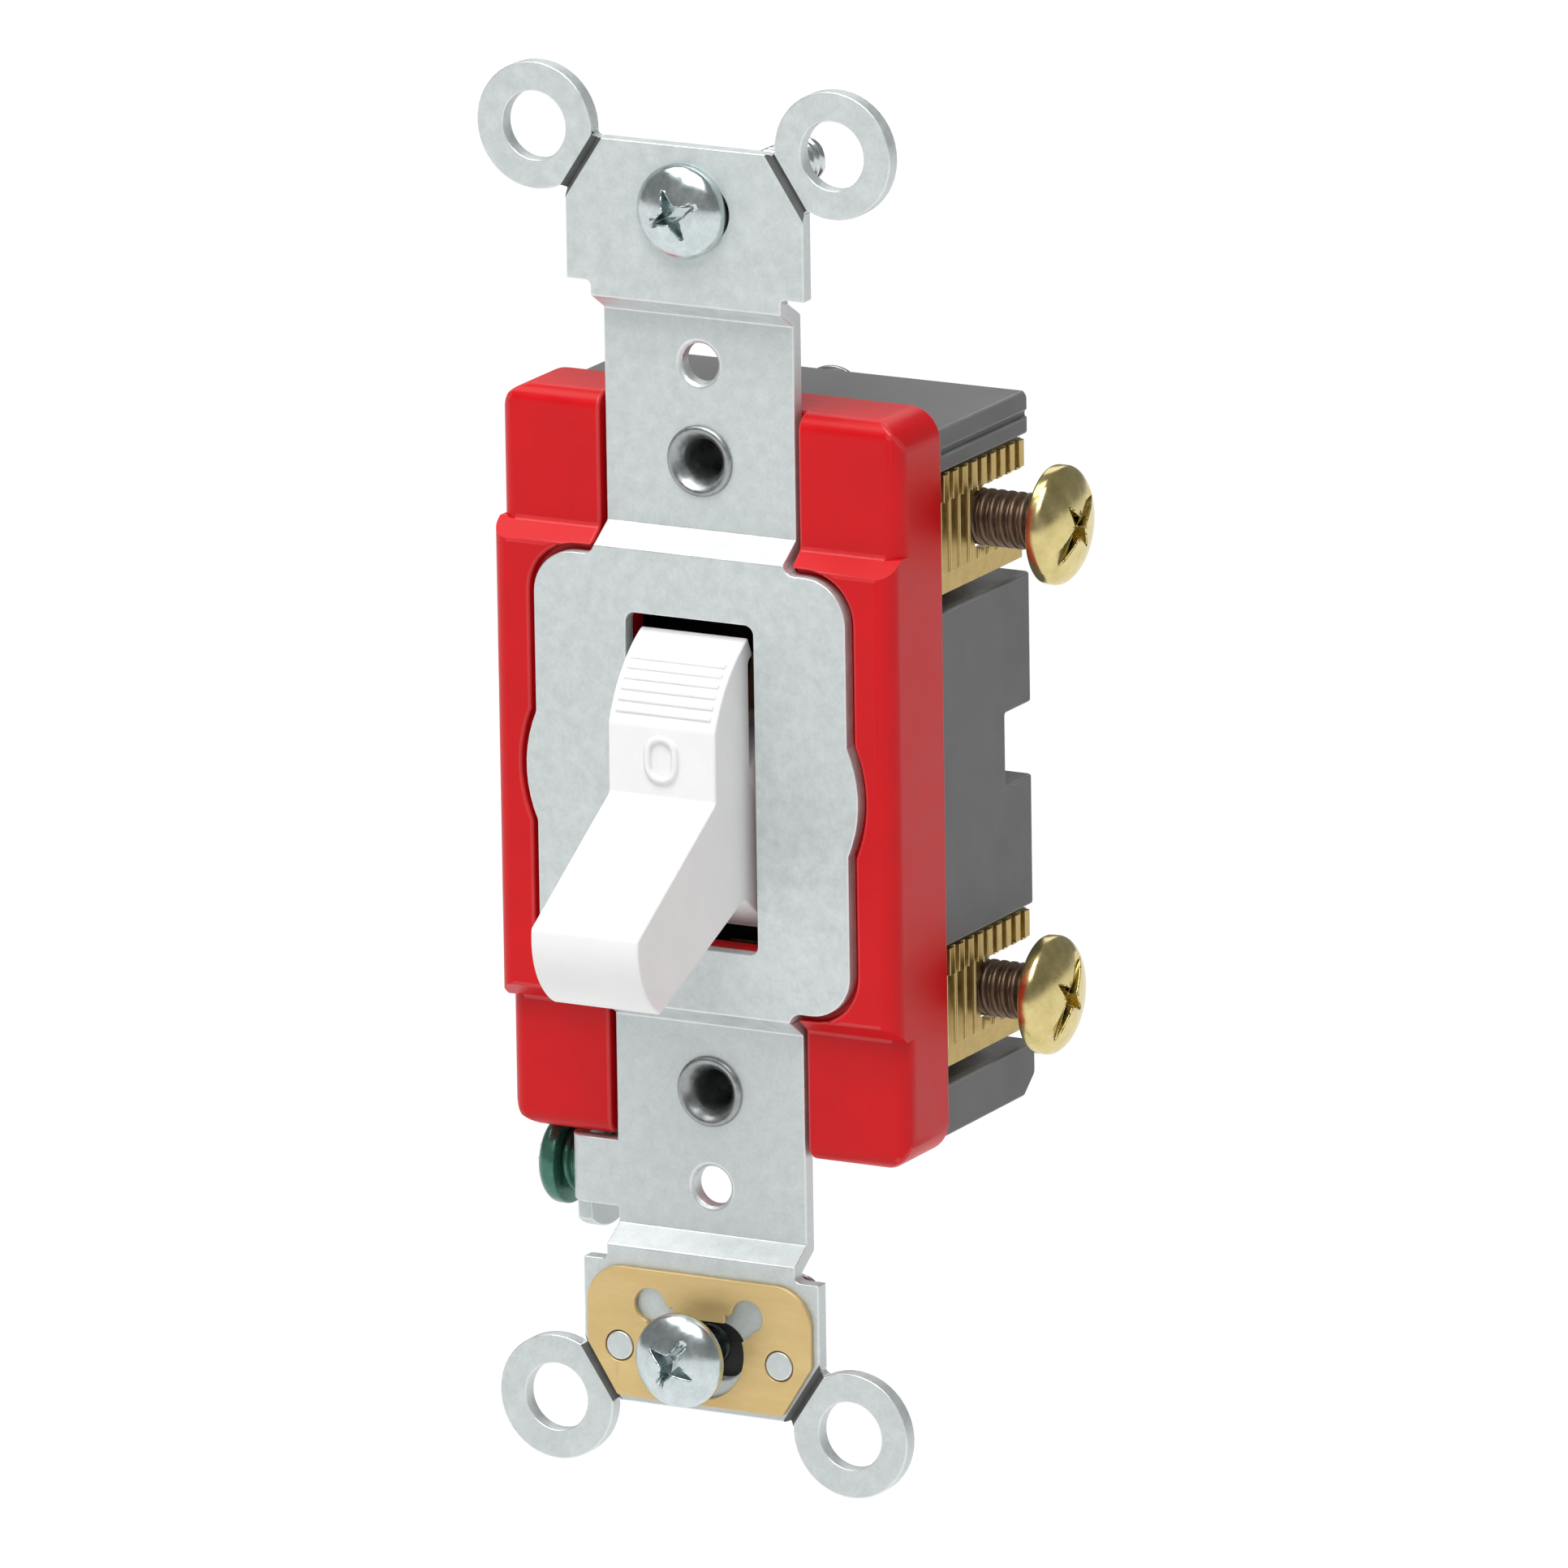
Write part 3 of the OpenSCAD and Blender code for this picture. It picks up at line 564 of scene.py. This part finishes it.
def make_screw(node, material, thread_material, place, head, shank, style):
    """A combination-head screw; place puts its local Z along its axis, out through the head.

    head is (radius, height, height of the rim) and shank is (neck radius, neck length, thread radius, end).
    """
    head_r, head_h, rim = head
    body = frame["nodes"][node]["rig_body"]
    bm = bmesh.new()
    add_spun(bm, head_profile(head_r, head_h, rim, style["fullness"]), place)
    obj = piece_from(bm, node + "_finished", body, slot_of[node], material, node)
    carve(obj, driver_recess(place, head_r, head_h, style))
    weigh_object(obj)
    round_edges(obj, 0.09, 2)
    neck_r, neck_len, major, end = shank
    bm = bmesh.new()
    if neck_len:
        profile = [(0, 0), (neck_r, 0), (neck_r, -neck_len + 0.2 * MM), (0, -neck_len + 0.2 * MM)]
        add_spun(bm, profile, place, 48)
    flip = place @ Matrix.Rotation(pi, 4, "X")
    add_thread(bm, flip, major, major - THREAD_DEPTH * MM, THREAD_PITCH * MM, neck_len, end)
    piece_from(bm, node + "_thread", body, slot_of[node], thread_material)


def axis_place(node, direction, base):
    """The matrix that puts local Z along direction, at the centre of a node's cross-section and at base."""
    low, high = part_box(node)
    centre = (low + high) / 2
    out = Vector(direction)
    axis = [abs(c) for c in out].index(1)
    centre[axis] = base
    return Matrix.Translation(centre) @ out.to_track_quat("Z", "Y").to_matrix().to_4x4()


def make_screws(look):
    """The five screws: heads with a combination recess and threaded shanks."""
    brass = {"slot": 0.13, "slot_floor": 0.7, "reach": 0.62, "waist": 0.2, "fullness": 1.9}
    zinc = {"slot": 0.07, "slot_floor": 0.8, "reach": 0.76, "waist": 0.24, "fullness": 1.8}
    green = {"slot": 0.13, "slot_floor": 0.7, "reach": 0.6, "waist": 0.2, "fullness": 2.0, "turn": 20}
    head_h, rim = (size * MM for size in TERMINAL_HEAD)
    for node, turn in (("line_screw", 38), ("load_screw", 52)):
        low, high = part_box(node)
        place = axis_place(node, (1, 0, 0), high.x - head_h)
        head = ((high.y - low.y) / 2, head_h, rim)
        shank = (0, 0, TERMINAL_THREAD_R * MM, high.x - head_h - low.x)
        style = dict(brass, turn=turn)
        make_screw(node, look["screw_brass"], look["thread_brass"], place, head, shank, style)
    head_h, rim = (size * MM for size in BOX_HEAD)
    for node, turn in (("top_mounting_screw", 25), ("bottom_mounting_screw", 60)):
        low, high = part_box(node)
        place = axis_place(node, (0, -1, 0), low.y + head_h)
        head = ((high.x - low.x) / 2, head_h, rim)
        shank = (NECK_R * MM, NECK_LEN * MM, BOX_THREAD_R * MM, high.y - head_h - low.y)
        style = dict(zinc, turn=turn)
        make_screw(node, look["screw_zinc"], look["screw_zinc"], place, head, shank, style)
    head_h, rim = (size * MM for size in GROUND_HEAD)
    low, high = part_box("ground_screw")
    place = axis_place("ground_screw", (-1, 0, 0), low.x + head_h)
    head = ((high.y - low.y) / 2, head_h, rim)
    shank = (0, 0, GROUND_THREAD_R * MM, high.x - low.x - head_h)
    make_screw("ground_screw", look["screw_green"], look["screw_green"], place, head, shank, green)


def make_rivets(material):
    """Two tubular rivets with rolled lips at both ends."""
    low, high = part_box("strap_rivets")
    front, back = low.y + RIVET_PROUD * MM, high.y - RIVET_PROUD * MM
    lip = [(radius * MM, height * MM) for radius, height in RIVET_LIP]
    rear = [(radius, front - back - height) for radius, height in reversed(lip)]
    bm = bmesh.new()
    for z in (high.z - RIVET_FLANGE_R * MM, low.z + RIVET_FLANGE_R * MM):
        place = Matrix.Translation((0, front, z)) @ Matrix.Rotation(pi / 2, 4, "X")
        add_spun(bm, lip + rear, place, 56, closed=True)
    piece_from(bm, "strap_rivets_rolled", "device", "rivet_steel", material, "strap_rivets")


def make_washers(material):
    """Fibre washers with rounded rims."""
    for node in ("top_washer", "bottom_washer"):
        low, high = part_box(node)
        place = axis_place(node, (0, -1, 0), high.y)
        thick = high.y - low.y
        outer, inner, edge = (high.x - low.x) / 2, WASHER_BORE_R * MM, WASHER_EDGE * MM
        profile = []
        for centre_r, centre_h, first in ((outer - edge, edge, -90), (outer - edge, thick - edge, 0),
                                          (inner + edge, thick - edge, 90), (inner + edge, edge, 180)):
            for k in range(5):
                turn = radians(first + 22.5 * k)
                profile.append((centre_r + edge * cos(turn), centre_h + edge * sin(turn)))
        bm = bmesh.new()
        add_spun(bm, profile, place, 64, closed=True)
        piece_from(bm, node + "_pressed", frame["nodes"][node]["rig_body"], "washer_fibre", material, node)


# ---------- stage ----------

def make_camera():
    azimuth, elevation, roll = (radians(v) for v in (CAMERA_AZIMUTH, CAMERA_ELEVATION, CAMERA_ROLL))
    back = Vector((sin(azimuth) * cos(elevation), -cos(azimuth) * cos(elevation), sin(elevation)))
    right = Vector((cos(azimuth), sin(azimuth), 0))
    up = back.cross(right)
    row_x = right * cos(roll) + up * sin(roll)
    row_y = up * cos(roll) - right * sin(roll)
    data = bpy.data.cameras.new("camera")
    data.lens = LENS
    data.sensor_width = SENSOR
    data.clip_start = 0.05
    data.clip_end = 50
    camera = bpy.data.objects.new("camera", data)
    bpy.context.scene.collection.objects.link(camera)
    spin = Matrix((row_x, row_y, back)).transposed().to_4x4()
    camera.matrix_world = Matrix.Translation(CAMERA_TARGET + back * CAMERA_DISTANCE) @ spin
    bpy.context.scene.camera = camera


def softbox(name, azimuth, elevation, distance, width, height, power):
    """A rectangular light that faces the object from an azimuth and elevation."""
    a, e = radians(azimuth), radians(elevation)
    away = Vector((sin(a) * cos(e), -cos(a) * cos(e), sin(e)))
    data = bpy.data.lights.new(name, "AREA")
    data.shape = "RECTANGLE"
    data.size = width
    data.size_y = height
    data.energy = power
    light = bpy.data.objects.new(name, data)
    light.visible_camera = False
    aim = away.to_track_quat("Z", "Y").to_matrix().to_4x4()
    light.matrix_world = Matrix.Translation(away * distance) @ aim
    bpy.context.scene.collection.objects.link(light)


def make_floor():
    """A pale, glowing floor well below the object, which can't be seen from underneath."""
    low = cad_box[0]
    z = low.z - FLOOR_DROP
    mesh = bpy.data.meshes.new("floor")
    corners = [(-FLOOR_HALF, -FLOOR_HALF, z), (FLOOR_HALF, -FLOOR_HALF, z),
               (FLOOR_HALF, FLOOR_HALF, z), (-FLOOR_HALF, FLOOR_HALF, z)]
    mesh.from_pydata(corners, [], [(0, 1, 2, 3)])
    floor = bpy.data.objects.new("floor", mesh)
    bpy.context.scene.collection.objects.link(floor)
    material = bpy.data.materials.new("pale_floor")
    material.use_nodes = True
    nodes, links = material.node_tree.nodes, material.node_tree.links
    shader = nodes["Principled BSDF"]
    shader.inputs["Base Color"].default_value = (0.02, 0.02, 0.02, 1)
    shader.inputs["Roughness"].default_value = 0.9
    shader.inputs["Emission Color"].default_value = (1, 1, 1, 1)
    shader.inputs["Emission Strength"].default_value = BACKDROP_GLOW
    clear = nodes.new("ShaderNodeBsdfTransparent")
    geometry = nodes.new("ShaderNodeNewGeometry")
    mix = nodes.new("ShaderNodeMixShader")
    links.new(geometry.outputs["Backfacing"], mix.inputs["Fac"])
    links.new(shader.outputs["BSDF"], mix.inputs[1])
    links.new(clear.outputs["BSDF"], mix.inputs[2])
    links.new(mix.outputs["Shader"], nodes["Material Output"].inputs["Surface"])
    mesh.materials.append(material)


def make_stage():
    """The camera, the floor, the soft studio light and a white backdrop."""
    make_camera()
    make_floor()
    world = bpy.data.worlds.new("studio")
    world.use_nodes = True
    nodes, links = world.node_tree.nodes, world.node_tree.links
    fill = nodes["Background"]
    fill.inputs["Color"].default_value = (1, 1, 1, 1)
    fill.inputs["Strength"].default_value = WORLD_FILL
    # The backdrop is seen white, but lights the object only softly
    backdrop = nodes.new("ShaderNodeBackground")
    backdrop.inputs["Color"].default_value = (1, 1, 1, 1)
    backdrop.inputs["Strength"].default_value = BACKDROP_GLOW
    ray = nodes.new("ShaderNodeLightPath")
    mix = nodes.new("ShaderNodeMixShader")
    links.new(ray.outputs["Is Camera Ray"], mix.inputs["Fac"])
    links.new(fill.outputs["Background"], mix.inputs[1])
    links.new(backdrop.outputs["Background"], mix.inputs[2])
    links.new(mix.outputs["Shader"], nodes["World Output"].inputs["Surface"])
    bpy.context.scene.world = world
    softbox("key", 12, 60, 1.3, 0.9, 0.9, 14.5)
    softbox("top", -60, 65, 1.3, 0.8, 0.8, 7)
    softbox("rear", 205, 35, 1.5, 0.9, 0.7, 2.5)
    bpy.context.scene.view_settings.view_transform = "Standard"


# ---------- build ----------

slot_of = {part["node"]: part["material_slot"] for part in frame["record"]["subparts"]}
look = make_materials()
make_stage()

refined("mounting_strap", look["strap_steel"], 0.55, rule=strap_weight, edge=look["strap_edge_wear_and_highlight"],
        groove=look["strap_groove_painted_shade"])
refined("front_cover", look["cover_plastic"], 0.22, rule=cover_weight, edge=look["cover_edge_wear_and_highlight"])
refined("rear_body", look["body_plastic"], 0.16, edge=look["body_edge_wear_and_highlight"])
refined("toggle_lever", look["lever_plastic"], 0.2, rule=lever_weight)
refined("ground_clip", look["clip_brass"], 0.08, 2)
for name in ("line_terminal", "load_terminal"):
    refined(name, look["terminal_brass"], 0.06, 2, edge=look["terminal_edge_wear_and_highlight"])
for name in ("line_clamp", "load_clamp"):
    refined(name, look["clamp_brass"], 0.08, 2)
for name in ("contact_arm", "arm_bearing"):
    refined(name, look["arm_copper"], 0.06, 2)
make_legend(look["lever_plastic"])
make_screws(look)
make_rivets(look["rivet_steel"])
make_washers(look["washer_fibre"])

for name, obj in frame["nodes"].items():
    if not obj.hide_render:
        for material_slot in obj.material_slots:
            material_slot.material = look[slot_of[name]]
